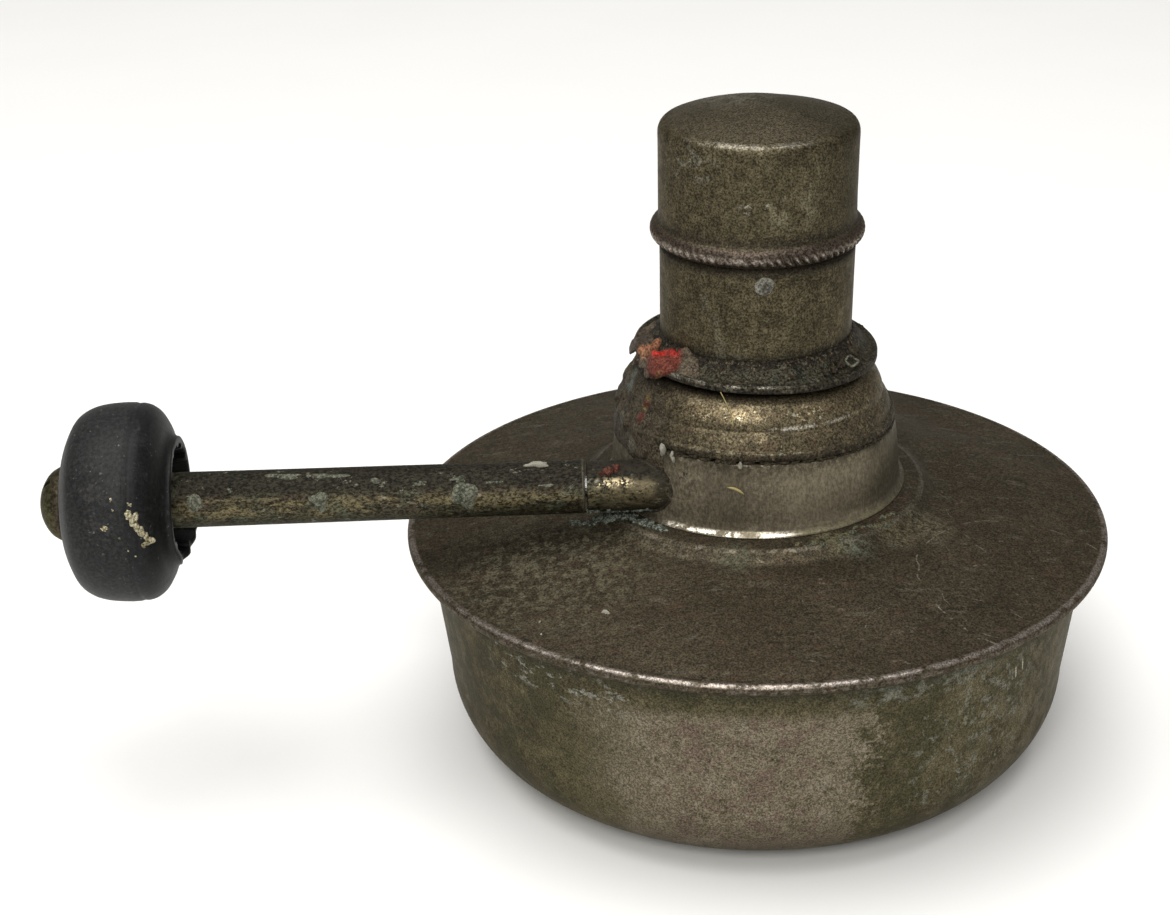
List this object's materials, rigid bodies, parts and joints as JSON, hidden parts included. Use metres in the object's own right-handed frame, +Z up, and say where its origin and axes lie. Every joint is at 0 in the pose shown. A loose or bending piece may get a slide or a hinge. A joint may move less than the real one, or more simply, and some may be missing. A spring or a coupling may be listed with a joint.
{
  "type": "spirit burner",
  "caption": "Spirit burner: squat metal fuel pan with an overhanging rim, domed neck and burner tube with a lift-off snuffer cap, and a side handle whose knob winds the wick up and down.",
  "frame": {"origin": "centre of the flat base, on the burner's vertical axis", "axes": "+Z up along the burner tube; the side handle points along -X, with its axis 13 mm towards -Y from the burner's axis"},
  "size_m": [0.1607, 0.108, 0.1022],
  "materials": {
    "pan_metal": "satin, tarnished nickel plate over brass",
    "neck_metal": "satin, tarnished nickel plate over brass",
    "burner_metal": "satin, heat-stained nickel plate over brass",
    "handle_brass": "dull, tarnished brass with paint specks",
    "nut_brass": "dull, tarnished brass",
    "inner_brass": "plain turned and pressed brass",
    "shaft_steel": "drawn wire",
    "hard_rubber": "moulded hard rubber, scuffed satin",
    "red_fibre": "vulcanised fibre, dull",
    "cotton": "twisted cotton yarn"
  },
  "bodies": {
    "lamp": {"reservoir_pan": "pan_metal", "reservoir_top": "pan_metal", "neck_band": "neck_metal", "burner_collar": "neck_metal", "drip_disc": "neck_metal", "burner_tube": "burner_metal", "handle_socket": "handle_brass", "handle_tube": "handle_brass", "shaft_bush_outer": "inner_brass", "shaft_bush_inner": "inner_brass", "shaft_packing": "cotton", "fibre_washer": "red_fibre", "wick_guide_plate": "inner_brass", "winder_frame": "inner_brass", "frame_rivet_1": "inner_brass", "frame_rivet_2": "inner_brass"},
    "winder": {"knob": "hard_rubber", "knob_nut": "nut_brass", "winder_shaft": "shaft_steel", "shaft_shoulder": "inner_brass", "thrust_collar": "inner_brass", "shaft_end_collar": "inner_brass", "pinion": "inner_brass"},
    "wick_unit": {"wick_carrier": "inner_brass", "rack": "inner_brass", "carrier_rivet_1": "inner_brass", "carrier_rivet_2": "inner_brass", "wick": "cotton"},
    "cap": {"snuffer_cap": "burner_metal"}
  },
  "joints": [
    {"name": "knob_turn", "type": "hinge", "parent": "lamp", "child": "winder", "pos_m": [-0.0945, -0.013, 0.048], "axis": [1, 0, 0], "range_deg": [0, 165]},
    {"name": "wick_lift", "type": "slide", "parent": "lamp", "child": "wick_unit", "axis": [0, 0, 1], "range_m": [0, 0.00907]},
    {"name": "cap_lift", "type": "slide", "parent": "lamp", "child": "cap", "axis": [0, 0, 1], "range_m": [0, 0.03]}
  ],
  "couplings": [
    {"joint": "knob_turn", "follows": "wick_lift", "rad_per_m": 317.46}
  ]
}
